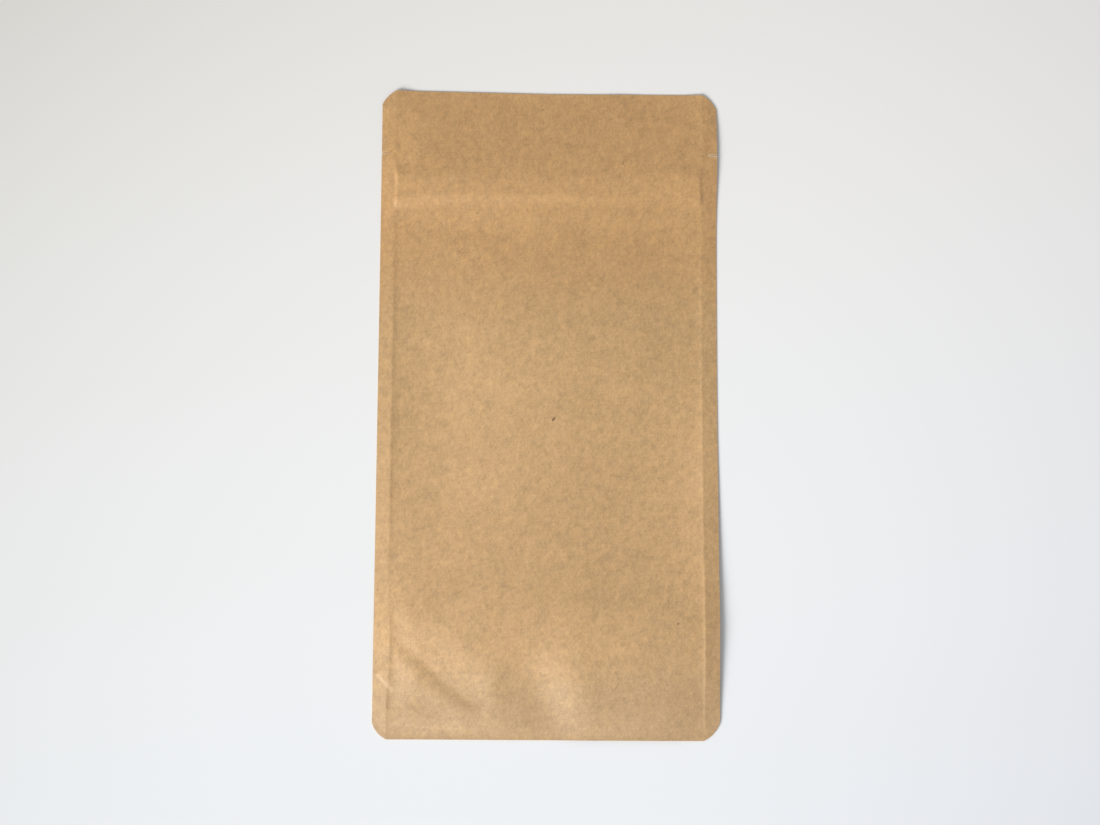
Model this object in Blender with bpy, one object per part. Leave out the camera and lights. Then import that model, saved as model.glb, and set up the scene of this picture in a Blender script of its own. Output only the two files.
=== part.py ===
"""Kraft stand-up pouch, empty and shut, lying on its back.

One closed solid: the front and back panels, the press-to-close zipper band and the bottom gusset folded
between them lie flat together and are sealed along both sides.

Frame: metres, +X to the right, +Y towards the mouth, +Z up out of the front panel. The origin lies on the
surface under the middle of the pouch. The numbers below are in millimetres, with x measured from the middle
line and up from the bottom edge.
"""

import math

import bmesh
import bpy

MM = 0.001  # metres

# The die-cut blank.
HALF_WIDTH = 60.0
LENGTH = 229.0
CORNER_RADIUS = 9.5
CORNER_CUTS = {  # how far each corner's arc reaches across the blank and along it
    "right_bottom": (5.6, 6.5),
    "right_top": (5.1, 5.6),
    "left_top": (5.6, 5.1),
    "left_bottom": (5.0, 5.6),
}
CORNER_STEPS = 6
NOTCH_UP = 206.5
NOTCH_DEPTH = 3.0
NOTCH_WIDTH = 0.5

# Each side seal rises evenly from its outer edge to a crest along its inner edge.
SEAL_THICKNESS = 0.4
SEAL_INNER = 54.7  # the crest, from the middle line
BEAD_FADE = 1.4  # how quickly the dip just inside the crest runs out
BELLY_HALF = 44.0  # half the width over which the back panel lies on the surface
DETAIL_FADE = 4.0  # width over which details fade out beside each seal

# Stations along the pouch, each (distance up from the bottom edge, value).
EDGE_LEFT = ((0, 0.0), (16, 0.05), (24, 0.3), (41, 0.3), (100, 0.05), (185, 0.1), (212, 0.3), (229, 0.6))
EDGE_RIGHT = (
    (0, 0.0), (5, 0.1), (16, 0.65), (24, 1.1), (34, 1.6), (46, 1.6), (60, 1.1), (83, 0.45), (110, 0.1),
    (150, 0.0), (188, 0.2), (205, 0.8), (214, 0.7), (226, 0.05),
)
LEAF_LEFT = (  # the rise of each seal from its edge to its crest
    (0, 0.3), (8, 1.1), (18, 1.4), (31, 1.9), (40, 1.7), (52, 1.1), (90, 0.7), (130, 0.5), (176, 0.25),
    (188, 0.85), (200, 1.0), (210, 0.45), (229, 0.35),
)
LEAF_RIGHT = ((0, 0.3), (10, 0.55), (26, 1.25), (40, 1.15), (60, 0.9), (130, 0.8), (184, 0.35), (229, 0.4))
BEAD = ((0, 0.1), (30, 0.25), (60, 0.25), (90, 0.32), (170, 0.32), (190, 0.0), (203, 0.0), (229, 0.1))
CROWN = (  # the front panel's height along its crown
    (0, 0.9), (5, 1.4), (15, 2.4), (25, 3.6), (35, 4.6), (45, 5.05), (55, 5.0), (66, 4.6), (80, 4.0),
    (105, 3.4), (140, 3.5), (154, 2.9), (165, 2.1), (176, 1.5), (186, 1.3), (200, 1.35), (214, 0.95),
    (229, 0.3),
)
CROWN_X = (
    (0, -4), (20, -12), (38, -24), (52, -21), (74, -9), (98, 0), (114, 6), (146, 4), (165, 12), (185, 6),
    (200, 0), (229, 4),
)
SHOULDER_LEFT = (  # its height along the shoulder beside each seal
    (0, 0.5), (8, 1.9), (20, 3.2), (34, 4.2), (48, 4.0), (62, 2.4), (80, 0.85), (110, 0.45), (172, 0.45),
    (182, 0.5), (192, 1.3), (200, 1.45), (214, 0.9), (229, 0.35),
)
SHOULDER_LEFT_X = ((0, -46), (34, -43), (48, -41), (90, -43), (135, -47), (229, -46))
SHOULDER_RIGHT = (
    (0, 1.5), (8, 2.35), (15, 2.8), (30, 3.3), (40, 3.35), (60, 1.8), (80, 0.65), (100, 0.45), (114, 0.7),
    (130, 1.4), (150, 1.55), (172, 1.1), (188, 1.0), (200, 1.2), (212, 0.9), (229, 0.25),
)
SHOULDER_RIGHT_X = ((0, 38), (15, 42), (30, 45), (70, 44), (90, 45), (130, 42), (229, 46))

# The zipper lifts the panel from its lower edge to its upper one, and the header falls away to the mouth.
ZIPPER_LINE = 189.2
ZIPPER_CREST = 199.7
ZIPPER_HEIGHT = 1.25
ZIPPER_STEP = 0.5
ZIPPER_BLEND = 3.0  # half the width over which the lower edge's step rises
ZIPPER_SLOPE = 0.045
ZIPPER_INSET = 9.0  # width over which it fades in from each seal

# A step up along the left arm of the gusset's fold, and soft bumps and hollows.
FOLD = ((-52, 35), (-40, 23.5), (-27, 13.5), (-20, 10))
FOLD_RISE = 0.8
FOLD_RUN = 14.0
FOLD_FADE = 25.0
FOLD_ENDS = (0.15, 0.2)  # share of its length over which the step comes in and runs out
SWELLS = (  # each x, up, height, radius across, radius along, turn in degrees
    (33, 128, 0.6, 12, 26, 0),
    (-22, 130, 0.6, 14, 20, 0),
    (-2, 15, -0.95, 7.5, 14, 20),
    (13, 18, 0.95, 7.5, 20, 4),
    (-18, 16, 0.45, 4.5, 8, 0),
    (25, 216, 0.4, 7, 8, 0),
    (-14, 175, -0.35, 8, 8, 0),
)

MARGIN = 1.5  # how far the grid reaches past the blank before the outline is cut
CUTTER_HALF = 10.0  # half the depth of the outline's cutter, well past both panels
WELD = 0.001
KRAFT_COLOUR = (0.53, 0.33, 0.155, 1.0)
KRAFT_ROUGHNESS = 0.75
SHARP_ANGLE = math.radians(35)


def smooth(t):
    """0 below 0, 1 above 1, and an S-curve between."""
    t = min(max(t, 0.0), 1.0)
    return t * t * (3 - 2 * t)


def through(stations, place):
    """A smooth curve through stations, level at both ends."""
    if place <= stations[0][0] or place >= stations[-1][0]:
        return float(stations[0][1] if place <= stations[0][0] else stations[-1][1])
    i = max(k for k, (at, _) in enumerate(stations) if at <= place)
    slopes = []
    for k in (i, i + 1):
        slope = 0.0
        if 0 < k < len(stations) - 1:
            (before, low), (after, high) = stations[k - 1], stations[k + 1]
            slope = (high - low) / (after - before)
        slopes.append(slope)
    (start, low), (end, high) = stations[i], stations[i + 1]
    gap = end - start
    t = (place - start) / gap
    return low + (high - low) * smooth(t) + gap * t * (1 - t) * ((1 - t) * slopes[0] - t * slopes[1])


def across(stops, x):
    """A smooth curve through stops, each (place, height), without rising past any of them."""
    rises = [(high - low) / (end - start) for (start, low), (end, high) in zip(stops, stops[1:])]
    slopes = [rises[0]]
    for p, q in zip(rises, rises[1:]):
        slopes.append(4 * p * p * q * q / ((p * p + q * q) * (p + q)) if p * q > 0 else 0.0)
    slopes.append(rises[-1])
    i = max((k for k, (place, _) in enumerate(stops[:-1]) if place <= x), default=0)
    (start, low), (end, high) = stops[i], stops[i + 1]
    gap = end - start
    t = (x - start) / gap
    return low + (high - low) * smooth(t) + gap * t * (1 - t) * ((1 - t) * slopes[i] - t * slopes[i + 1])


def flange(x, up):
    """The front face of a side seal."""
    edge, leaf = (EDGE_RIGHT, LEAF_RIGHT) if x > 0 else (EDGE_LEFT, LEAF_LEFT)
    inward = min(max((HALF_WIDTH - abs(x)) / (HALF_WIDTH - SEAL_INNER), 0.0), 1.0)
    return through(edge, up) + SEAL_THICKNESS + through(leaf, up) * inward


def panel(x, up):
    """The front panel's form: a dip inside each seal, a shoulder, and the crown between them."""
    bead = through(BEAD, up)
    stops = (
        (-SEAL_INNER, flange(-SEAL_INNER, up) - bead),
        (through(SHOULDER_LEFT_X, up), through(SHOULDER_LEFT, up)),
        (through(CROWN_X, up), through(CROWN, up)),
        (through(SHOULDER_RIGHT_X, up), through(SHOULDER_RIGHT, up)),
        (SEAL_INNER, flange(SEAL_INNER, up) - bead),
    )
    return across(stops, x) + bead * math.exp(-(SEAL_INNER - abs(x)) / BEAD_FADE)


def zipper(x, up):
    """The zipper's band: a step up along its lower edge, then a long fall to the mouth."""
    step = ZIPPER_STEP * smooth((up - ZIPPER_LINE + ZIPPER_BLEND) / (2 * ZIPPER_BLEND))
    rising = step + ZIPPER_SLOPE * max(up - ZIPPER_LINE, 0.0)
    falling = ZIPPER_HEIGHT * (LENGTH - up) / (LENGTH - ZIPPER_CREST)
    return max(min(rising, falling), 0.0) * smooth((SEAL_INNER - abs(x)) / ZIPPER_INSET)


def fold(x, up):
    """The step up along the gusset's fold, which runs out at both ends and away from the fold."""
    nearest = math.inf
    distance = 0.0
    for (ax, ay), (bx, by) in zip(FOLD, FOLD[1:]):
        length = math.dist((ax, ay), (bx, by))
        dx, dy = (bx - ax) / length, (by - ay) / length
        along = min(max((x - ax) * dx + (up - ay) * dy, 0.0), length)
        gap = math.hypot(x - ax - along * dx, up - ay - along * dy)
        if gap < nearest:
            nearest = gap
            distance = math.copysign(gap, dx * (up - ay) - dy * (x - ax))
    (ax, ay), (bx, by) = FOLD[0], FOLD[-1]
    share = ((x - ax) * (bx - ax) + (up - ay) * (by - ay)) / ((bx - ax) ** 2 + (by - ay) ** 2)
    ends = smooth(share / FOLD_ENDS[0]) * smooth((1 - share) / FOLD_ENDS[1])
    fade = math.exp(-max(distance - FOLD_RUN, 0.0) / FOLD_FADE)
    return FOLD_RISE * smooth(distance / FOLD_RUN) * fade * ends


def swells(x, up):
    """The soft bumps and hollows."""
    height = 0.0
    for cx, cu, rise, rx, ru, turn in SWELLS:
        c, s = math.cos(math.radians(turn)), math.sin(math.radians(turn))
        u = ((x - cx) * c + (up - cu) * s) / rx
        v = (-(x - cx) * s + (up - cu) * c) / ru
        height += rise * math.exp(-(u * u + v * v))
    return height


def front_height(x, up):
    """The front face."""
    if abs(x) >= SEAL_INNER:
        return flange(x, up)
    inside = smooth((SEAL_INNER - abs(x)) / DETAIL_FADE)
    height = panel(x, up) + zipper(x, up) + inside * (fold(x, up) + swells(x, up))
    return max(height, SEAL_THICKNESS)


def back_height(x, up):
    """The back face: flat on the surface in the middle, lifted with the seals at both sides."""
    if abs(x) >= SEAL_INNER:
        return flange(x, up) - SEAL_THICKNESS
    outward = smooth((abs(x) - BELLY_HALF) / (SEAL_INNER - BELLY_HALF))
    lifted = (flange(math.copysign(SEAL_INNER, x), up) - SEAL_THICKNESS) * outward
    return min(lifted, front_height(x, up) - SEAL_THICKNESS)


def spaced(guides):
    """Grid lines from guides, each (place, number of cells up to the next guide)."""
    lines = []
    for (start, cells), (end, _) in zip(guides, guides[1:]):
        lines += [start + (end - start) * i / cells for i in range(cells)]
    return [*lines, guides[-1][0]]


def column_lines():
    half = spaced(
        (
            (0.0, 10),
            (BELLY_HALF, 2),
            (SEAL_INNER - 2 * BEAD_FADE, 2),
            (SEAL_INNER, 2),
            (HALF_WIDTH, 1),
            (HALF_WIDTH + MARGIN, 0),
        )
    )
    return [-x for x in reversed(half[1:])] + half


def row_lines():
    return spaced(
        (
            (-MARGIN, 1),
            (0.0, 14),
            (50.0, 22),
            (ZIPPER_LINE - ZIPPER_BLEND, 3),
            (ZIPPER_LINE + ZIPPER_BLEND, 2),
            (ZIPPER_CREST, 6),
            (LENGTH, 1),
            (LENGTH + MARGIN, 0),
        )
    )


def collection(name, hidden=False):
    made = bpy.data.collections.new(name)
    bpy.context.scene.collection.children.link(made)
    made.hide_render = hidden
    return made


def kraft_paper():
    material = bpy.data.materials.new("kraft paper")
    material.use_nodes = True
    shader = material.node_tree.nodes["Principled BSDF"]
    shader.inputs["Base Color"].default_value = KRAFT_COLOUR
    shader.inputs["Roughness"].default_value = KRAFT_ROUGHNESS
    shader.inputs["Metallic"].default_value = 0.0
    return material


def puffed_blank():
    """A grid bent to the front panel, and extruded down to the back panel."""
    columns, rows = column_lines(), row_lines()
    mesh = bmesh.new()
    bmesh.ops.create_grid(mesh, x_segments=len(columns) - 1, y_segments=len(rows) - 1, size=1)
    front = set(mesh.verts)
    bmesh.ops.extrude_face_region(mesh, geom=mesh.faces[:])
    for vertex in mesh.verts:
        x = columns[round((vertex.co.x + 1) / 2 * (len(columns) - 1))]
        up = rows[round((vertex.co.y + 1) / 2 * (len(rows) - 1))]
        height = front_height(x, up) if vertex in front else back_height(x, up)
        vertex.co = (x * MM, (up - LENGTH / 2) * MM, height * MM)
    bmesh.ops.recalc_face_normals(mesh, faces=mesh.faces[:])
    data = bpy.data.meshes.new("pouch")
    mesh.to_mesh(data)
    mesh.free()
    return data


def corner_arc(name):
    """Points of one corner's arc, which bulges outwards between the side and the end of the blank."""
    sideways, upward = CORNER_CUTS[name]
    right = 1 if name.startswith("right") else -1
    top = 1 if name.endswith("top") else -1
    start = (right * HALF_WIDTH, top * (LENGTH / 2 - upward))
    end = (right * (HALF_WIDTH - sideways), top * LENGTH / 2)
    middle = ((start[0] + end[0]) / 2, (start[1] + end[1]) / 2)
    chord = math.dist(start, end)
    inward = math.sqrt(CORNER_RADIUS**2 - (chord / 2) ** 2)
    centre = (middle[0] - right * upward / chord * inward, middle[1] - top * sideways / chord * inward)
    first = math.atan2(start[1] - centre[1], start[0] - centre[0])
    last = math.atan2(end[1] - centre[1], end[0] - centre[0])
    turn = math.remainder(last - first, 2 * math.pi)
    angles = [first + turn * i / CORNER_STEPS for i in range(CORNER_STEPS + 1)]
    return [
        (centre[0] + CORNER_RADIUS * math.cos(a), centre[1] + CORNER_RADIUS * math.sin(a))
        for a in angles
    ]


def notch(right):
    """The three points of a tear notch, from its lower lip to its upper one."""
    y = NOTCH_UP - LENGTH / 2
    edge = right * HALF_WIDTH
    return [(edge, y - NOTCH_WIDTH / 2), (edge - right * NOTCH_DEPTH, y), (edge, y + NOTCH_WIDTH / 2)]


def outline():
    """The blank's outline, anticlockwise from the bottom right."""
    return [
        *reversed(corner_arc("right_bottom")),
        *notch(1),
        *corner_arc("right_top"),
        *reversed(corner_arc("left_top")),
        *reversed(notch(-1)),
        *corner_arc("left_bottom"),
    ]


def outline_cutter(group):
    """The blank's outline as a flat curve, extruded past both panels and made a mesh."""
    curve = bpy.data.curves.new("outline", "CURVE")
    curve.dimensions = "2D"
    curve.fill_mode = "BOTH"
    curve.extrude = CUTTER_HALF * MM
    spline = curve.splines.new("POLY")
    points = outline()
    spline.points.add(len(points) - 1)
    for point, (x, y) in zip(spline.points, points):
        point.co = (x * MM, y * MM, 0.0, 1.0)
    spline.use_cyclic_u = True
    drawn = bpy.data.objects.new("outline", curve)
    group.objects.link(drawn)
    bpy.context.view_layer.update()
    solid = drawn.evaluated_get(bpy.context.evaluated_depsgraph_get())
    data = bpy.data.meshes.new_from_object(solid)
    welded = bmesh.new()
    welded.from_mesh(data)
    bmesh.ops.remove_doubles(welded, verts=welded.verts[:], dist=WELD * MM)
    bmesh.ops.recalc_face_normals(welded, faces=welded.faces[:])
    welded.to_mesh(data)
    welded.free()
    cutter = bpy.data.objects.new("blank_outline", data)
    cutter.matrix_world = drawn.matrix_world
    bpy.data.objects.remove(drawn)
    group.objects.link(cutter)
    cutter.hide_render = True
    cutter.display_type = "WIRE"
    return cutter


def build_pouch():
    parts = collection("kraft stand-up pouch")
    cutters = collection("cutters", hidden=True)
    pouch = bpy.data.objects.new("pouch", puffed_blank())
    parts.objects.link(pouch)
    pouch.data.materials.append(kraft_paper())
    pouch.data.shade_smooth()
    pouch.data.set_sharp_from_angle(angle=SHARP_ANGLE)
    cut = pouch.modifiers.new("die cut", "BOOLEAN")
    cut.operation = "INTERSECT"
    cut.solver = "EXACT"
    cut.object = outline_cutter(cutters)


for leftover in list(bpy.data.objects):
    bpy.data.objects.remove(leftover)
build_pouch()
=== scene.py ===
"""The dressed kraft pouch, on a pale floor in soft window light from the lower left.

The heights are worked out in millimetres: x runs across from the middle line, up runs from the bottom edge
to the mouth, and z is the height above the floor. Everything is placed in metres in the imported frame.
"""

import math

import bpy
import numpy as np
from mathutils import Matrix, Vector


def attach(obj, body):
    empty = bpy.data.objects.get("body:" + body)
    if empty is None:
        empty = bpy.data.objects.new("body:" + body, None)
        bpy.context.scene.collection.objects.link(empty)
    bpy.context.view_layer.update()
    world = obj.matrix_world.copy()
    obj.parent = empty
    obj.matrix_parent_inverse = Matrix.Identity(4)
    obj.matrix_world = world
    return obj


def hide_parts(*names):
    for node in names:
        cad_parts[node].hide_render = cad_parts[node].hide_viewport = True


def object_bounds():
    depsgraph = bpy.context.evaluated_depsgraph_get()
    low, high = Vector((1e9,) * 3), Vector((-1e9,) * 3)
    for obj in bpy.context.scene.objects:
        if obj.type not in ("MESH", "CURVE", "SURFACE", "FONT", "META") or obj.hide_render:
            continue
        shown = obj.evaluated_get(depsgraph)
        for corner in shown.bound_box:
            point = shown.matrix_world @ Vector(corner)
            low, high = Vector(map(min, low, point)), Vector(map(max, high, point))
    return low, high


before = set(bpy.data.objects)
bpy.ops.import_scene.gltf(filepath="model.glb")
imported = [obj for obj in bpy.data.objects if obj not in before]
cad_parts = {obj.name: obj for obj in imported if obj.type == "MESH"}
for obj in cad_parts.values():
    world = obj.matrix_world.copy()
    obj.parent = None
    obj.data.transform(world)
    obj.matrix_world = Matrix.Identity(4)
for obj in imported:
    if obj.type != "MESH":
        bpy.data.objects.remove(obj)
cad_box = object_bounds()

MM = 0.001

# ---- The blank -------------------------------------------------------------------------------------------

WIDTH, HEIGHT = (round((cad_box[1][axis] - cad_box[0][axis]) / MM, 1) for axis in (0, 1))
HALF = WIDTH / 2
PLY = 0.11  # thickness of the laminate
INNER = 50.0  # a line inside both seals, from the middle line; beyond it the columns follow the outline
GUSSET_FOLD = 41.0
GUSSET_BLEND = 4.0  # half the length over which the sealed stack thins from four layers to two

# The crest along the inner edge of each side seal, from the middle line.
SEAL_LEFT = ((0, 55.2), (14, 55.1), (24, 54.3), (36, 54.2), (46, 54.8), (60, 55.0), (229, 55.0))
SEAL_RIGHT = (
    (0, 54.8), (18, 54.9), (36, 55.0), (52, 54.8), (70, 54.5), (170, 54.3), (184, 54.6), (229, 54.9),
)

CORNER_RADIUS = 9.5
CORNERS = {  # how far each corner's arc reaches along the width and along the height
    ("right", "bottom"): (5.6, 6.5),
    ("right", "top"): (5.1, 5.6),
    ("left", "top"): (5.6, 5.1),
    ("left", "bottom"): (5.0, 5.6),
}

NOTCH_UP = 206.5
NOTCH_DEPTH = 3.0
NOTCH_HALF = 0.13

# How far the right-hand edge strays outwards.
RIGHT_WAVE = (
    (0, 0.0), (9, 0.0), (30, 0.05), (42, 0.1), (60, 0.0), (84, -0.05), (107, -0.25), (170, -0.25),
    (181, -0.2), (192, 0.05), (204, 0.25), (214, 0.2), (225, 0.05), (229, 0.0),
)

MOUTH_RISE = 0.95  # the mouth's left end reaches this much further up than its right half
MOUTH_RISE_FROM = 185.0
MOUTH_RISE_X = -1.0  # the mouth runs level to the right of this
MOUTH_RISE_ACROSS = 54.2

# ---- The relief ------------------------------------------------------------------------------------------

# The flanges: the lift of each outer edge, the rise from it to the crest, and the dip just inside the crest.
EDGE_LEFT = (
    (0, 0.0), (8, 0.0), (16, 0.05), (24, 0.3), (41, 0.3), (70, 0.15), (100, 0.05), (150, 0.0), (185, 0.1),
    (212, 0.3), (229, 0.6),
)
EDGE_RIGHT = (
    (0, 0.0), (5, 0.1), (10, 0.3), (16, 0.65), (24, 1.1), (34, 1.6), (46, 1.6), (60, 1.1), (83, 0.45),
    (110, 0.1), (150, 0.0), (188, 0.2), (205, 0.8), (214, 0.7), (226, 0.05), (229, 0.0),
)
LEAF_LEFT = (
    (0, 0.3), (8, 1.1), (18, 1.4), (31, 1.9), (40, 1.7), (52, 1.1), (70, 0.8), (90, 0.7), (130, 0.5),
    (176, 0.25), (188, 0.85), (200, 1.0), (210, 0.45), (229, 0.35),
)
LEAF_RIGHT = (
    (0, 0.3), (10, 0.55), (26, 1.25), (40, 1.15), (60, 0.9), (90, 0.75), (130, 0.8), (170, 0.6),
    (184, 0.55), (197, 0.8), (210, 0.45), (229, 0.4),
)
BEAD_LEFT = (
    (0, 0.05), (14, 0.2), (24, 0.42), (36, 0.42), (46, 0.12), (62, 0.25), (80, 0.42), (110, 0.34),
    (170, 0.34), (182, 0.15), (190, 0.0), (203, 0.0), (212, 0.12), (229, 0.1),
)
BEAD_RIGHT = (
    (0, 0.05), (10, 0.1), (30, 0.18), (60, 0.25), (90, 0.3), (122, 0.38), (170, 0.3), (182, 0.15),
    (190, 0.0), (203, 0.0), (212, 0.1), (229, 0.08),
)
BEAD_FADE = 1.4

# The front panel between the seals: a shoulder inside each seal and a crown between them.
CROWN = (
    (0, 0.9), (5, 1.4), (15, 2.4), (25, 3.6), (35, 4.6), (45, 5.05), (55, 5.0), (66, 4.6), (80, 4.0),
    (105, 3.4), (140, 3.5), (154, 2.9), (165, 2.05), (176, 1.42), (186, 1.35), (200, 1.35), (214, 0.95),
    (229, 0.3),
)
CROWN_X = (
    (0, -4), (20, -12), (38, -24), (52, -21), (74, -9), (98, 0), (114, 6), (130, 4), (146, 4), (165, 12),
    (185, 6), (200, 0), (229, 4),
)
SHOULDER_LEFT = (
    (0, 0.5), (8, 1.9), (20, 3.2), (34, 4.2), (48, 4.0), (62, 2.4), (80, 0.85), (110, 0.32), (140, 0.32),
    (160, 0.26), (172, 0.3), (182, 0.5), (192, 1.3), (200, 1.45), (214, 0.9), (229, 0.35),
)
SHOULDER_LEFT_X = ((0, -46), (34, -43), (48, -41), (90, -43), (110, -43), (135, -47), (170, -46), (229, -46))
SHOULDER_RIGHT = (
    (0, 1.5), (8, 2.35), (15, 2.8), (30, 3.3), (40, 3.35), (60, 1.8), (80, 0.65), (100, 0.42), (114, 0.7),
    (130, 1.4), (150, 1.55), (172, 1.1), (188, 1.0), (200, 1.2), (212, 0.9), (229, 0.25),
)
SHOULDER_RIGHT_X = ((0, 38), (15, 42), (30, 45), (70, 44), (90, 45), (130, 42), (180, 42), (229, 46))
BELLY_HALF = 44.0  # half the width over which the back panel lies on the floor

DETAIL_FADE = 4.0  # the width over which the swells and the fold fade in from each seal
SWELLS = (  # soft bumps and hollows between the seals: x, up, height, radius across, radius along, turn
    (33, 128, 0.6, 12, 26, 0),
    (-22, 130, 0.6, 14, 20, 0),
    (-48.5, 43, 0.35, 3.5, 4.5, 0),
    (-2, 15, -0.95, 7.5, 14, 20),
    (12, 18, 0.8, 8, 19, 4),
    (-18, 16, 0.45, 4.5, 8, 0),
    (26, 221, 0.45, 6, 7, 0),
    (-14, 175, -0.35, 8, 8, 0),
)

# The diagonal fold near the bottom: a slope on its left, a dip along it and a lip on its right.
FOLD = ((-52, 35), (-46, 29), (-40, 23.5), (-34, 18.5), (-27, 13.5), (-20, 10))
FOLD_RISE = 0.8
FOLD_START = 0.5  # the slope starts this far from the line
FOLD_RUN = 14.0
FOLD_FADE = 25.0
FOLD_DIP = 0.2
FOLD_DIP_WIDTH = 2.0
FOLD_LIP = 0.3
FOLD_LIP_AWAY = 4.5
FOLD_LIP_WIDTH = 4.0
FOLD_FADE_IN = 0.15  # shares of the fold's length over which its ends fade
FOLD_FADE_OUT = 0.2

CREASES = (  # sharp lines: the points, the rise on the left side, how wide it is, and how far it fades out
    (((-59.2, 22.6), (-56.8, 20.6), (-53.4, 17.0)), 0.22, 0.8, 9.0),
    (((-54.3, 17.5), (-54.6, 10.5)), -0.15, 1.6, 3.0),
    (((54.6, 62.0), (54.4, 2.0)), 0.12, 0.7, 2.0),
    (((-60.0, 197.6), (-57.0, 195.6), (-55.2, 195.2)), 0.05, 0.8, 1.5),
    (((-59.0, 201.2), (-56.5, 200.2), (-55.0, 199.2)), 0.04, 0.8, 1.5),
    (((-56.8, 193.5), (-54.0, 195.0), (-52.6, 194.2)), 0.07, 0.8, 1.5),
    (((-53.0, 212.0), (-46.0, 207.5), (-38.0, 202.5)), 0.10, 4.0, 8.0),
)
CREASE_FADE = 0.15  # share of a crease's length over which each end fades
CREASE_PAST = 0.045  # share of its length by which it runs past its end points

ZIPPER_LINE = 189.2  # the lower edge of the zipper shows as a step in the panel here
ZIPPER_STEP = 0.6
ZIPPER_BLEND = 3.0  # half the length over which the step rises
ZIPPER_FOOT = 0.32  # the gentler rise below the step
ZIPPER_FOOT_UP = (178.0, 187.0)
ZIPPER_SLOPE = 0.045
ZIPPER_CREST = 199.7  # the panel creases over the zipper's upper edge
ZIPPER_HEIGHT = 1.25
ZIPPER_ROUNDING = 0.1
ZIPPER_INSET = 9.0  # the width over which the ridge fades in from each seal
ZIPPER_WEAKENING_X = (2.0, 47.0)  # the ridge weakens from the first place to the second
ZIPPER_STEP_LOSS = 0.7
ZIPPER_HEIGHT_LOSS = 0.25

# Each end of the zipper stands out beside the seal as a short upright mark with a wavy outer edge.
MARK_LEFT = 0.9
MARK_RIGHT = 0.4
MARK_PAST_SEAL = 0.5
MARK_EDGE = 1.5
MARK_WAVE = 0.2
MARK_WAVE_TURN = 0.55  # radians for each millimetre up
MARK_WAVE_START = 187.0
MARK_FOOT = (185.5, 190.5)
MARK_HEAD = (203.5, 197.5)


def ramp(at, start, end):
    """0 up to start, 1 from end on, and a smooth rise between them; start may also be the larger one."""
    t = np.clip((at - start) / (end - start), 0.0, 1.0)
    return t * t * (3 - 2 * t)


def through(stations, at):
    """A smooth curve through stations, each (place, value), level at both ends."""
    places = np.array([p for p, _ in stations], float)
    values = np.array([v for _, v in stations], float)
    tangents = np.zeros_like(values)
    tangents[1:-1] = (values[2:] - values[:-2]) / (places[2:] - places[:-2])
    at = np.asarray(at, float)
    i = np.clip(np.searchsorted(places, at, side="right") - 1, 0, len(places) - 2)
    gap = places[i + 1] - places[i]
    t = np.clip((at - places[i]) / gap, 0, 1)
    level = (1 + 2 * t) * (1 - t) ** 2 * values[i] + t * t * (3 - 2 * t) * values[i + 1]
    return level + gap * t * (1 - t) * ((1 - t) * tangents[i] - t * tangents[i + 1])


def across(stops, x):
    """A smooth curve through stops, each (place, height) arrays, without rising past any of them."""
    rises = [(b[1] - a[1]) / (b[0] - a[0]) for a, b in zip(stops, stops[1:])]
    tangents = [rises[0]]
    for p, q in zip(rises, rises[1:]):
        same_way = p * q > 0
        total = np.where(same_way, (p * p + q * q) * (p + q), 1.0)
        tangents.append(np.where(same_way, 4 * p * p * q * q / total, 0.0))
    tangents.append(rises[-1])
    height = stops[0][1] + 0 * x
    for i in range(len(rises)):
        (a, low), (b, high) = stops[i], stops[i + 1]
        gap = b - a
        t = np.clip((x - a) / gap, 0, 1)
        level = (1 + 2 * t) * (1 - t) ** 2 * low + t * t * (3 - 2 * t) * high
        bend = gap * t * (1 - t) * ((1 - t) * tangents[i] - t * tangents[i + 1])
        height = np.where(x > a, level + bend, height)
    return height


def bell(x, up, cx, cu, rx, ru, turn):
    """A rounded bump at (cx, cu), 1 high, with radii rx and ru, turned by turn degrees."""
    c, s = math.cos(math.radians(turn)), math.sin(math.radians(turn))
    u = ((x - cx) * c + (up - cu) * s) / rx
    v = (-(x - cx) * s + (up - cu) * c) / ru
    return np.exp(-(u * u + v * v))


def beside(x, up, points):
    """Distance to an open line of points, positive on its left, and the place along its chord, 0 to 1."""
    best = np.full(np.shape(x), 1e9)
    signed = np.zeros(np.shape(x))
    for a, b in zip(points, points[1:]):
        length = math.dist(a, b)
        dx, dy = (b[0] - a[0]) / length, (b[1] - a[1]) / length
        t = np.clip((x - a[0]) * dx + (up - a[1]) * dy, 0, length)
        px, py = x - a[0] - t * dx, up - a[1] - t * dy
        d = np.hypot(px, py)
        signed = np.where(d < best, np.where(dx * py - dy * px >= 0, d, -d), signed)
        best = np.minimum(best, d)
    (ax, ay), (bx, by) = points[0], points[-1]
    share = ((x - ax) * (bx - ax) + (up - ay) * (by - ay)) / ((bx - ax) ** 2 + (by - ay) ** 2)
    return signed, share


def between_ends(share, fade_in, fade_out, past=0.0):
    """1 along a line, fading to 0 at past beyond its ends, all as shares of its length."""
    return ramp(share, -past, fade_in - past) * ramp(share, 1 + past, 1 + past - fade_out)


def two_sided(left, right, x, up):
    return np.where(x < 0, through(left, up), through(right, up))


def seal(x, up):
    return two_sided(SEAL_LEFT, SEAL_RIGHT, x, up)


def inset(x, up):
    """The distance inwards from the crest of the seal, below 0 out on the flange."""
    return seal(x, up) - np.abs(x)


def plies(up):
    """The sealed stack's thickness: four layers below the gusset's fold, and two above it."""
    return PLY * (2 + 2 * ramp(up, GUSSET_FOLD + GUSSET_BLEND, GUSSET_FOLD - GUSSET_BLEND))


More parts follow.
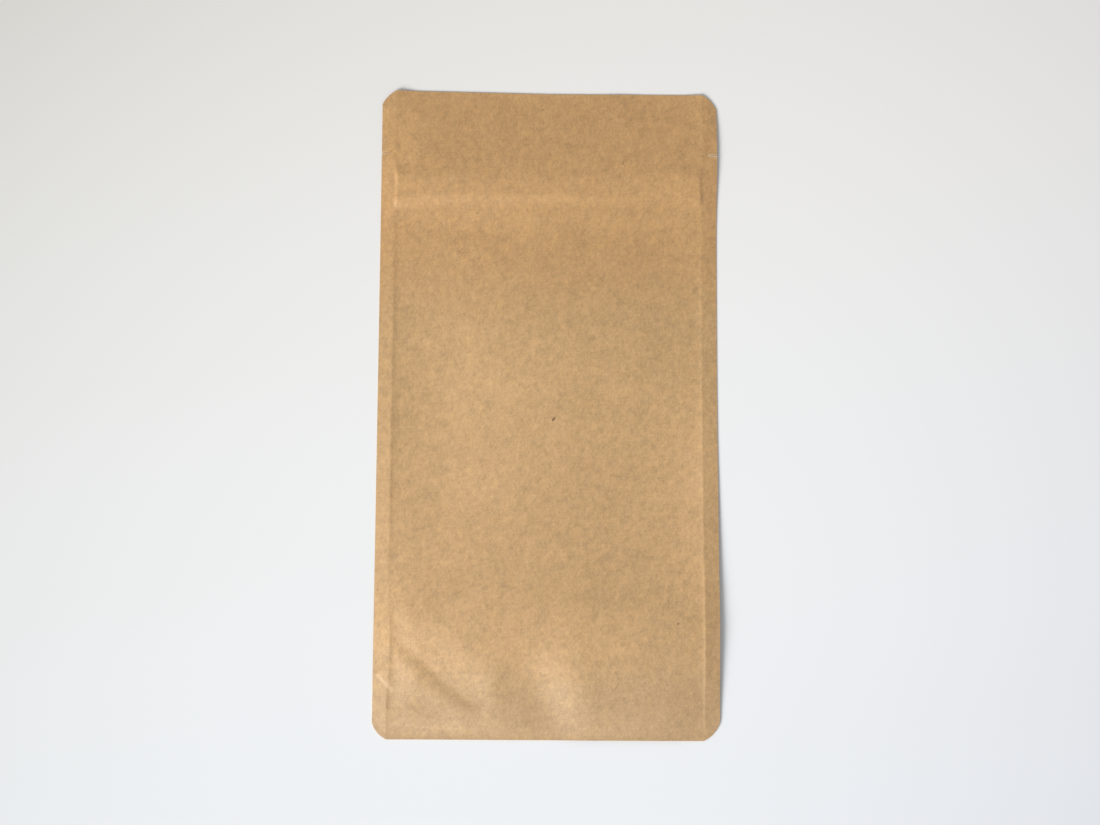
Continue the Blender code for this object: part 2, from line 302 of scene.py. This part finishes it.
def flange(x, up):
    """A flange rises evenly from its outer edge to the crest of the seal."""
    inward = np.clip((HALF - np.abs(x)) / (HALF - seal(x, up)), 0, 1)
    leaf = two_sided(LEAF_LEFT, LEAF_RIGHT, x, up)
    return two_sided(EDGE_LEFT, EDGE_RIGHT, x, up) + plies(up) + leaf * inward


def crest(side, up):
    """The height of one seal's crest; side is -1 on the left and 1 on the right."""
    return flange(side * INNER, up)


def panel(x, up):
    """The front panel's broad form between the seals, with a narrow bead rising to each crest."""
    bead_left, bead_right = through(BEAD_LEFT, up), through(BEAD_RIGHT, up)
    stops = (
        (-through(SEAL_LEFT, up), crest(-1, up) - bead_left),
        (through(SHOULDER_LEFT_X, up), through(SHOULDER_LEFT, up)),
        (through(CROWN_X, up), through(CROWN, up)),
        (through(SHOULDER_RIGHT_X, up), through(SHOULDER_RIGHT, up)),
        (through(SEAL_RIGHT, up), crest(1, up) - bead_right),
    )
    bead = np.where(x < 0, bead_left, bead_right)
    return across(stops, x) + bead * np.exp(-np.clip(inset(x, up), 0, None) / BEAD_FADE)


def fold(x, up):
    d, share = beside(x, up, FOLD)
    slope = FOLD_RISE * ramp(d, FOLD_START, FOLD_START + FOLD_RUN)
    slope = slope * np.exp(-np.clip(d - FOLD_START - FOLD_RUN, 0, None) / FOLD_FADE)
    dip = FOLD_DIP * np.exp(-((d / FOLD_DIP_WIDTH) ** 2))
    lip = FOLD_LIP * np.exp(-(((d + FOLD_LIP_AWAY) / FOLD_LIP_WIDTH) ** 2))
    return (slope + lip - dip) * between_ends(share, FOLD_FADE_IN, FOLD_FADE_OUT)


def details(x, up):
    """The fold and the swells, which fade out at the seals."""
    swells = sum(rise * bell(x, up, cx, cu, rx, ru, turn) for cx, cu, rise, rx, ru, turn in SWELLS)
    return (fold(x, up) + swells) * ramp(inset(x, up), 0, DETAIL_FADE)


def creases(x, up):
    height = 0 * x
    for points, rise, width, fade in CREASES:
        d, share = beside(x, up, points)
        step = ramp(d, -width / 2, width / 2) * np.exp(-np.clip(d, 0, None) / fade)
        height = height + rise * step * between_ends(share, CREASE_FADE, CREASE_FADE, CREASE_PAST)
    return height


def zipper_ridge(x, up):
    """The panel rises from the zipper's lower edge to its upper one, and the header falls to the mouth."""
    weakening = ramp(x, *ZIPPER_WEAKENING_X)
    step = ZIPPER_STEP * ramp(up, ZIPPER_LINE - ZIPPER_BLEND, ZIPPER_LINE + ZIPPER_BLEND)
    rising = ZIPPER_FOOT * ramp(up, *ZIPPER_FOOT_UP) + step * (1 - ZIPPER_STEP_LOSS * weakening)
    rising = rising + ZIPPER_SLOPE * np.clip(up - ZIPPER_LINE, 0, None)
    falling = ZIPPER_HEIGHT * (HEIGHT - up) / (HEIGHT - ZIPPER_CREST) * (1 - ZIPPER_HEIGHT_LOSS * weakening)
    # The lower of the two slopes, rounded where they meet.
    return (rising + falling - np.sqrt((rising - falling) ** 2 + ZIPPER_ROUNDING**2)) / 2


def zipper_marks(x, up):
    wave = MARK_WAVE * np.sin((up - MARK_WAVE_START) * MARK_WAVE_TURN)
    outer = ramp(inset(x, up) + MARK_PAST_SEAL + wave, 0, MARK_EDGE)
    return np.where(x < 0, MARK_LEFT, MARK_RIGHT) * outer * ramp(up, *MARK_FOOT) * ramp(up, *MARK_HEAD)


def zipper(x, up):
    """The ridge over the zipper between the seals, and the marks where it ends beside them."""
    inside = ramp(inset(x, up), 0, ZIPPER_INSET)
    return zipper_ridge(x, up) * inside + zipper_marks(x, up) * (1 - inside)


def front_height(x, up):
    """The outer surface of the front panel."""
    inner = panel(x, up) + details(x, up)
    return np.where(inset(x, up) <= 0, flange(x, up), inner) + zipper(x, up) + creases(x, up)


def back_height(x, up):
    """The outer surface of the back panel: on the floor in the middle, lifted with the flanges."""
    sealed = front_height(x, up) - plies(up)
    crests = np.where(x < 0, crest(-1, up), crest(1, up)) - plies(up)
    loose = np.minimum(crests * ramp(np.abs(x), BELLY_HALF, seal(x, up)), sealed)
    return np.maximum(np.where(inset(x, up) <= 0, sealed, loose), 0.0)


# ---- The sheets ------------------------------------------------------------------------------------------


def corner_reach(side, end, up):
    """How much narrower the blank is at up because of one rounded corner."""
    sideways, upward = CORNERS[side, end]
    from_end = HEIGHT - up if end == "top" else up
    chord = math.hypot(sideways, upward)
    inward = math.sqrt(CORNER_RADIUS**2 - (chord / 2) ** 2)
    # The arc's centre, measured from the corner: along the width, and along the height.
    cx = sideways / 2 + inward * upward / chord
    cy = upward / 2 + inward * sideways / chord
    dy = np.clip(cy - from_end, -CORNER_RADIUS, CORNER_RADIUS)
    cut = cx - np.sqrt(CORNER_RADIUS**2 - dy**2)
    return np.where(from_end < upward, np.maximum(cut, 0.0), 0.0)


def half_width(side, up):
    """The distance from the middle line to the outline on one side."""
    reach = HALF - corner_reach(side, "bottom", up) - corner_reach(side, "top", up)
    if side == "right":
        reach = reach + through(RIGHT_WAVE, up)
    notch = np.clip(1 - np.abs(up - NOTCH_UP) / NOTCH_HALF, 0, 1)
    return reach - NOTCH_DEPTH * notch


def steps(*guides):
    """Grid lines from guides, each (place, spacing up to the next guide)."""
    lines = []
    for (start, spacing), (end, _) in zip(guides, guides[1:]):
        count = max(1, round((end - start) / spacing))
        lines += [start + (end - start) * i / count for i in range(count)]
    return np.array([*lines, guides[-1][0]])


# The grid's columns and rows lie closest at the edges and at the tear notches.
COLUMNS = steps((-HALF, 0.35), (-INNER, 1.0), (INNER, 0.35), (HALF, 0))
ROWS = steps(
    (0.0, 0.4),
    (7.0, 0.6),
    (46.0, 1.0),
    (184.0, 0.5),
    (NOTCH_UP - NOTCH_HALF, NOTCH_HALF),
    (NOTCH_UP + NOTCH_HALF, 0.8),
    (222.0, 0.4),
    (HEIGHT, 0),
)
GUSSET_ROWS = ROWS[ROWS <= GUSSET_FOLD]
SHARP_ANGLE = math.radians(40)


def blank_grid(rows):
    """x and up at each grid point, with the rows ending on the outline."""
    up = np.repeat(rows[:, None], len(COLUMNS), axis=1)
    x = np.repeat(COLUMNS[None, :], len(rows), axis=0)
    reach = np.where(x < 0, half_width("left", up), half_width("right", up))
    outer = INNER + (np.abs(x) - INNER) * (reach - INNER) / (HALF - INNER)
    return np.where(np.abs(x) > INNER, np.sign(x) * outer, x), up


def place(x, up, z):
    """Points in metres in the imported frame."""
    slant = np.clip((MOUTH_RISE_X - x) / MOUTH_RISE_ACROSS, 0, 1)
    rise = MOUTH_RISE * slant * ramp(up, MOUTH_RISE_FROM, HEIGHT)
    return np.stack([x, up + rise - HEIGHT / 2, z], axis=-1) * MM


def linked(name, data):
    """A new object for data, in the scene."""
    made = bpy.data.objects.new(name, data)
    bpy.context.scene.collection.objects.link(made)
    return made


def quads(a, b, c, d):
    return np.stack([a, b, c, d], axis=-1).reshape(-1, 4)


def sheet(name, upper, lower):
    """A closed thin sheet from two grids of points, the upper one facing out on the +Z side."""
    rows, columns = upper.shape[:2]
    points = np.concatenate([upper.reshape(-1, 3), lower.reshape(-1, 3)])
    above = np.arange(rows * columns).reshape(rows, columns)
    below = above + rows * columns
    faces = np.concatenate([
        quads(above[:-1, :-1], above[:-1, 1:], above[1:, 1:], above[1:, :-1]),
        quads(below[:-1, :-1], below[1:, :-1], below[1:, 1:], below[:-1, 1:]),
        quads(above[0, :-1], below[0, :-1], below[0, 1:], above[0, 1:]),
        quads(above[-1, 1:], below[-1, 1:], below[-1, :-1], above[-1, :-1]),
        quads(above[1:, 0], below[1:, 0], below[:-1, 0], above[:-1, 0]),
        quads(above[:-1, -1], below[:-1, -1], below[1:, -1], above[1:, -1]),
    ])
    mesh = bpy.data.meshes.new(name)
    mesh.from_pydata(points.tolist(), [], faces.tolist())
    mesh.validate()
    mesh.shade_smooth()
    mesh.set_sharp_from_angle(angle=SHARP_ANGLE)
    return linked(name, mesh)


def front_panel():
    x, up = blank_grid(ROWS)
    z = front_height(x, up)
    return sheet("front_panel", place(x, up, z), place(x, up, z - PLY))


def back_panel():
    x, up = blank_grid(ROWS)
    z = back_height(x, up)
    return sheet("back_panel", place(x, up, z + PLY), place(x, up, z))


def gusset_front():
    """The gusset's front leaf hangs from the front panel's lower edge and runs down to the fold."""
    x, up = blank_grid(GUSSET_ROWS)
    lying = back_height(x, up) + 3 * PLY  # the back panel, the back leaf and this one
    hanging = front_height(x, up) - PLY
    z = np.minimum(lying + (hanging - lying) * ramp(up, GUSSET_FOLD, 0), hanging)
    return sheet("gusset_front", place(x, up, z), place(x, up, z - PLY))


def gusset_back():
    """The gusset's back leaf lies on the back panel."""
    x, up = blank_grid(GUSSET_ROWS)
    z = back_height(x, up) + PLY
    return sheet("gusset_back", place(x, up, z + PLY), place(x, up, z))


# ---- Materials -------------------------------------------------------------------------------------------


class Nodes:
    """Short calls for building a material's nodes."""

    def __init__(self, name):
        self.material = bpy.data.materials.new(name)
        self.material.use_nodes = True
        self.tree = self.material.node_tree
        self.shader = self.tree.nodes["Principled BSDF"]

    def make(self, kind, inputs, **settings):
        node = self.tree.nodes.new(kind)
        for key, value in settings.items():
            setattr(node, key, value)
        for key, value in inputs.items():
            self.feed(node.inputs[key], value)
        return node

    def feed(self, socket, value):
        if isinstance(value, bpy.types.NodeSocket):
            self.tree.links.new(value, socket)
        else:
            socket.default_value = value

    def finish(self, colour, roughness, specular):
        self.feed(self.shader.inputs["Base Color"], colour)
        self.feed(self.shader.inputs["Roughness"], roughness)
        self.feed(self.shader.inputs["Specular IOR Level"], specular)
        return self.material

    def math(self, operation, a, b=0.0, c=0.0):
        return self.make("ShaderNodeMath", {0: a, 1: b, 2: c}, operation=operation).outputs[0]

    def total(self, *values):
        result = values[0]
        for value in values[1:]:
            result = self.math("ADD", result, value)
        return result

    def clamp(self, value, limit):
        return self.math("MAXIMUM", self.math("MINIMUM", value, limit), -limit)

    def ramp(self, value, start, end):
        """The same rise as the function ramp."""
        inputs = {"Value": value, "From Min": start, "From Max": end}
        return self.make("ShaderNodeMapRange", inputs, interpolation_type="SMOOTHSTEP").outputs[0]

    def coords(self, scale=(1, 1, 1), turn=0.0, shift=(0, 0, 0)):
        """Object coordinates in millimetres, turned, shifted and scaled."""
        source = self.make("ShaderNodeTexCoord", {}).outputs["Object"]
        turned = {"Vector": source, "Rotation": (0, 0, math.radians(turn)), "Location": shift}
        turned = self.make("ShaderNodeMapping", turned).outputs[0]
        size = tuple(s / MM for s in scale)
        return self.make("ShaderNodeMapping", {"Vector": turned, "Scale": size}).outputs[0]

    def place(self):
        """x and y in millimetres, y from the middle of the pouch."""
        made = self.make("ShaderNodeSeparateXYZ", {0: self.coords()})
        return made.outputs["X"], made.outputs["Y"]

    def grain(self, vector, size, detail, roughness, gain):
        """Noise with grains of size, as a change round 0."""
        inputs = {"Vector": vector, "Scale": 1 / size, "Detail": detail, "Roughness": roughness}
        noise = self.make("ShaderNodeTexNoise", inputs).outputs["Fac"]
        return self.math("MULTIPLY_ADD", noise, gain, -0.5 * gain)

    def rgb(self, red, green, blue):
        inputs = {"Red": red, "Green": green, "Blue": blue}
        return self.make("ShaderNodeCombineColor", inputs).outputs[0]

    def mix(self, factor, a, b, blend="MIX"):
        inputs = {0: factor, 6: a, 7: b}  # the factor and the two colours
        return self.make("ShaderNodeMix", inputs, data_type="RGBA", blend_type=blend).outputs[2]


# The kraft colours along the pouch are the paper's own colour plus painted light falloff: painted shade
# darkens them towards the mouth, and they are lightest in the lower part.
KRAFT_BOTTOM = (0.489, 0.310, 0.146, 1.0)
KRAFT_LOWER = (0.541, 0.328, 0.141, 1.0)
KRAFT_MIDDLE = (0.513, 0.311, 0.130, 1.0)
KRAFT_TOP = (0.494, 0.278, 0.104, 1.0)
PAINTED_FALLOFF_ZONES = (  # each colour takes over from the one below it between two places along the pouch
    (-108, -80, KRAFT_LOWER),
    (-28, 8, KRAFT_MIDDLE),
    (25, 65, KRAFT_TOP),
)
KRAFT_ROUGHNESS = 0.58
KRAFT_SPECULAR = 0.95
FIBRE_RELIEF = 0.02 * MM

# The grain of the paper: size in millimetres, detail, roughness and gain.
CLOUDS = (14.0, 2, 0.6, 0.14)
MOTTLE = (3.2, 4, 0.95, 0.79)
STRANDS = (0.55, 1, 0.5, 0.27)
WARMTH = (4.0, 3, 0.8, 1.0)
MOTTLE_SCALE = (1.0, 0.86, 1.0)
STRAND_SCALE = (1.0, 0.16, 1.0)
STRAND_TURNS = (4, 38, -33, 82)
WARMTH_SCALE = (1.0, 0.9, 1.0)
WARMTH_SHIFT = (40, 15, 0)
WARM_RED = 0.05
WARM_BLUE = -0.20

FLECK_COLOUR = (0.09, 0.04, 0.02, 1.0)
FLECK_EDGE = (1.6, 0.4)  # a fleck fades in between these squares of its radius
FLECKS = (  # dark flecks in the paper: x, y, half length, half width, turn and strength
    (2.1, -3.6, 0.95, 0.42, 52, 0.75),
    (45.5, -74.5, 0.4, 0.35, 0, 0.6),
    (28.5, 11.7, 0.55, 0.4, 80, 0.3),
    (26.4, 88.8, 0.7, 0.35, 80, 0.35),
    (24.0, -91.4, 0.6, 0.35, 110, 0.25),
    (24.0, -96.6, 0.6, 0.35, 70, 0.25),
    (-25.5, 70.5, 0.6, 0.4, 20, 0.25),
    (50.0, 70.6, 0.6, 0.4, 40, 0.25),
    (-2.5, 108.6, 0.55, 0.45, 0, 0.3),
    (9.4, 110.5, 0.6, 0.4, 60, 0.25),
)
DARKER_CORNER = (42.0, -95.0, 20.0, 17.0, 90, 0.1)  # a broad faint patch, laid like a fleck

LIP = (0.72, 0.57, 0.38, 1.0)  # the pale torn fibres along the tear notches
LIP_EDGE = (0.65, 0.35)  # the lip fades in between these distances from the notch's line
LIP_START = (56.6, 57.2)  # and between these distances from the middle line
LIP_LEFT_OUTWARD = 0.8  # the left lip starts this much further out
LIP_LEFT_UP = 0.45  # and lies this much further up, where the mouth rises
LIP_LEFT_STRENGTH = 0.20
LIP_RIGHT_STRENGTH = 0.45


def kraft_tone(n):
    """Light and dark fibres in several sizes, as a factor round 1."""
    flat = n.coords(MOTTLE_SCALE)
    strands = [n.grain(n.coords(STRAND_SCALE, turn, (turn, 0, 0)), *STRANDS) for turn in STRAND_TURNS]
    return n.total(1.0, n.grain(flat, *CLOUDS), n.grain(flat, *MOTTLE), *strands)


def kraft_colour_with_painted_falloff(n, y):
    """The paper's colour with painted light falloff, which changes slowly along the pouch: lightest in the
    lower part, darker and more saturated towards the mouth.
    """
    colour = KRAFT_BOTTOM
    for start, end, above in PAINTED_FALLOFF_ZONES:
        colour = n.mix(n.ramp(y, start, end), colour, above)
    return colour


def kraft_fibres(n, tone):
    """The tone as a colour, a little warmer in some places and cooler in others."""
    warmth = n.grain(n.coords(WARMTH_SCALE, 0, WARMTH_SHIFT), *WARMTH)
    red = n.math("MULTIPLY", tone, n.math("MULTIPLY_ADD", warmth, WARM_RED, 1.0))
    blue = n.math("MULTIPLY", tone, n.math("MULTIPLY_ADD", warmth, WARM_BLUE, 1.0))
    return n.rgb(red, tone, blue)


def fleck(n, x, y, cx, cy, half_length, half_width, turn):
    """1 inside one slanted fleck and 0 outside."""
    c, s = math.cos(math.radians(turn)), math.sin(math.radians(turn))
    dx = n.math("ADD", x, -cx)
    dy = n.math("ADD", y, -cy)
    u = n.total(n.math("MULTIPLY", dx, c / half_length), n.math("MULTIPLY", dy, s / half_length))
    v = n.total(n.math("MULTIPLY", dx, -s / half_width), n.math("MULTIPLY", dy, c / half_width))
    return n.ramp(n.total(n.math("MULTIPLY", u, u), n.math("MULTIPLY", v, v)), *FLECK_EDGE)


def lip_share(n, x, y):
    """How much of the pale lip shows: only beside the tear notches, and less on the left."""
    left = n.math("LESS_THAN", x, 0.0)
    from_line = n.math("ADD", y, HEIGHT / 2 - NOTCH_UP)
    from_line = n.math("ABSOLUTE", n.math("MULTIPLY_ADD", left, -LIP_LEFT_UP, from_line))
    outward = n.math("ABSOLUTE", n.math("MULTIPLY_ADD", left, LIP_LEFT_OUTWARD, x))
    near = n.math("MULTIPLY", n.ramp(from_line, *LIP_EDGE), n.ramp(outward, *LIP_START))
    strength = n.math("MULTIPLY_ADD", left, LIP_LEFT_STRENGTH - LIP_RIGHT_STRENGTH, LIP_RIGHT_STRENGTH)
    return n.math("MULTIPLY", near, strength)


def kraft_material():
    n = Nodes("kraft_paper")
    tone = kraft_tone(n)
    x, y = n.place()
    # The zone colours carry painted light falloff along the pouch; the fibres and flecks are the paper's
    # own.
    colour = n.mix(1.0, kraft_colour_with_painted_falloff(n, y), kraft_fibres(n, tone), "MULTIPLY")
    for *shape, strength in (*FLECKS, DARKER_CORNER):
        colour = n.mix(n.math("MULTIPLY", fleck(n, x, y, *shape), strength), colour, FLECK_COLOUR)
    colour = n.mix(lip_share(n, x, y), colour, LIP)
    bump = n.make("ShaderNodeBump", {"Strength": 1.0, "Distance": FIBRE_RELIEF, "Height": tone})
    n.feed(n.shader.inputs["Normal"], bump.outputs[0])
    return n.finish(colour, KRAFT_ROUGHNESS, KRAFT_SPECULAR)


# The floor's changes in brightness and tint are painted light: a painted falloff of the window light, warmer
# towards the mouth, and painted shade away from the pouch.
FLOOR_LEVEL = 0.815
FLOOR_ACROSS = 0.00017  # brighter towards the right, per millimetre
FLOOR_ALONG = -0.00024  # darker towards the mouth
FLOOR_TWIST = 1.1e-6  # brighter in the upper right and lower left, per square millimetre
FLOOR_FALL = 2.3e-6  # darker away from the pouch, per square millimetre
FLOOR_FALL_END = 7.0e4  # the fall stops at this square of the distance
FLOOR_X_END = 250.0  # the changes stop this far from the middle
FLOOR_Y_END = 200.0
FLOOR_RED = 0.994
FLOOR_RED_ALONG = 0.00016
FLOOR_BLUE_ALONG = -0.00022
FLOOR_BLUE_ACROSS = 0.00008
FLOOR_ROUGHNESS = 0.9
FLOOR_HALF = 1.5  # metres
FLOOR_DROP = 0.02 * MM  # a gap that keeps the floor off the back panel


def floor_material_with_painted_light():
    """Pale floor with painted light: a little darker and warmer towards the mouth, and darker away from the
    pouch.
    """
    n = Nodes("pale_floor_painted_light")
    x, y = n.place()
    x = n.clamp(x, FLOOR_X_END)
    y = n.clamp(y, FLOOR_Y_END)
    square = n.total(n.math("MULTIPLY", x, x), n.math("MULTIPLY", y, y))
    level = n.total(
        1.0,
        n.math("MULTIPLY", x, FLOOR_ACROSS),
        n.math("MULTIPLY", y, FLOOR_ALONG),
        n.math("MULTIPLY", n.math("MULTIPLY", x, y), FLOOR_TWIST),
        n.math("MULTIPLY", n.math("MINIMUM", square, FLOOR_FALL_END), -FLOOR_FALL),
    )
    level = n.math("MULTIPLY", level, FLOOR_LEVEL)
    red = n.math("MULTIPLY_ADD", y, FLOOR_RED_ALONG, FLOOR_RED)
    blue = n.total(1.0, n.math("MULTIPLY", y, FLOOR_BLUE_ALONG), n.math("MULTIPLY", x, FLOOR_BLUE_ACROSS))
    colour = n.rgb(n.math("MULTIPLY", level, red), level, n.math("MULTIPLY", level, blue))
    return n.finish(colour, FLOOR_ROUGHNESS, 0.0)


# ---- The scene -------------------------------------------------------------------------------------------

LIGHT_AZIMUTH = math.radians(46)  # from -X towards -Y
LIGHT_ELEVATION = math.radians(27.5)
LIGHT_DISTANCE = 4.8
LIGHT_SIZE = 2.6
LIGHT_POWER = 317.0
SKY_STRENGTH = 0.470

# The camera, in a frame turned by CAMERA_YAW and moved by CAMERA_SHIFT from the pouch's, in millimetres.
CAMERA_DISTANCE = 560.3
CAMERA_TILT = math.radians(6.46)
CAMERA_LEAN = math.radians(0.26)
CAMERA_YAW = math.radians(-0.31)
CAMERA_SHIFT = (-0.80, 0.91, 0.0)
CAMERA_LENS = 52.0
CAMERA_SENSOR = 36.0
CAMERA_CLIP = (0.05, 20.0)  # metres


def add_floor():
    half, z = FLOOR_HALF, -FLOOR_DROP
    mesh = bpy.data.meshes.new("floor")
    corners = [(-half, -half, z), (half, -half, z), (half, half, z), (-half, half, z)]
    mesh.from_pydata(corners, [], [(0, 1, 2, 3)])
    made = linked("floor", mesh)
    made.data.materials.append(floor_material_with_painted_light())


def aim(made, position, target, upward):
    """Stands a camera or light at position, looking at target, with its top towards upward."""
    forward = (Vector(target) - Vector(position)).normalized()
    side = forward.cross(Vector(upward)).normalized()
    top = side.cross(forward)
    turn = Matrix((side, top, -forward)).transposed()
    made.matrix_world = Matrix.Translation(position) @ turn.to_4x4()


def add_light():
    lamp = bpy.data.lights.new("window", "AREA")
    lamp.shape = "DISK"
    lamp.size = LIGHT_SIZE
    lamp.energy = LIGHT_POWER
    lamp.color = (1.0, 1.0, 1.0)
    level = math.cos(LIGHT_ELEVATION) * LIGHT_DISTANCE
    position = (
        -math.cos(LIGHT_AZIMUTH) * level,
        -math.sin(LIGHT_AZIMUTH) * level,
        math.sin(LIGHT_ELEVATION) * LIGHT_DISTANCE,
    )
    aim(linked("window", lamp), position, (0, 0, 0), (0, 1, 0))


def add_sky():
    world = bpy.data.worlds.new("room")
    world.use_nodes = True
    background = world.node_tree.nodes["Background"]
    background.inputs["Color"].default_value = (1.0, 1.0, 1.0, 1.0)
    background.inputs["Strength"].default_value = SKY_STRENGTH
    bpy.context.scene.world = world


def add_camera():
    data = bpy.data.cameras.new("camera")
    data.lens = CAMERA_LENS
    data.sensor_width = CAMERA_SENSOR
    data.clip_start, data.clip_end = CAMERA_CLIP
    made = linked("camera", data)
    position = Vector((
        -CAMERA_DISTANCE * math.sin(CAMERA_LEAN),
        -CAMERA_DISTANCE * math.sin(CAMERA_TILT),
        CAMERA_DISTANCE * math.cos(CAMERA_TILT),
    ))
    turn = Matrix.Rotation(-CAMERA_YAW, 3, "Z")
    shift = Vector(CAMERA_SHIFT)
    aim(made, turn @ (position - shift) * MM, turn @ -shift * MM, turn @ Vector((0, 1, 0)))
    bpy.context.scene.camera = made


KRAFT = kraft_material()
for piece in (front_panel(), back_panel(), gusset_front(), gusset_back()):
    piece.data.materials.append(KRAFT)
    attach(piece, "root")
    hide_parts("pouch")
add_floor()
add_light()
add_sky()
add_camera()
bpy.context.scene.view_settings.view_transform = "Standard"
bpy.context.scene.view_settings.look = "None"
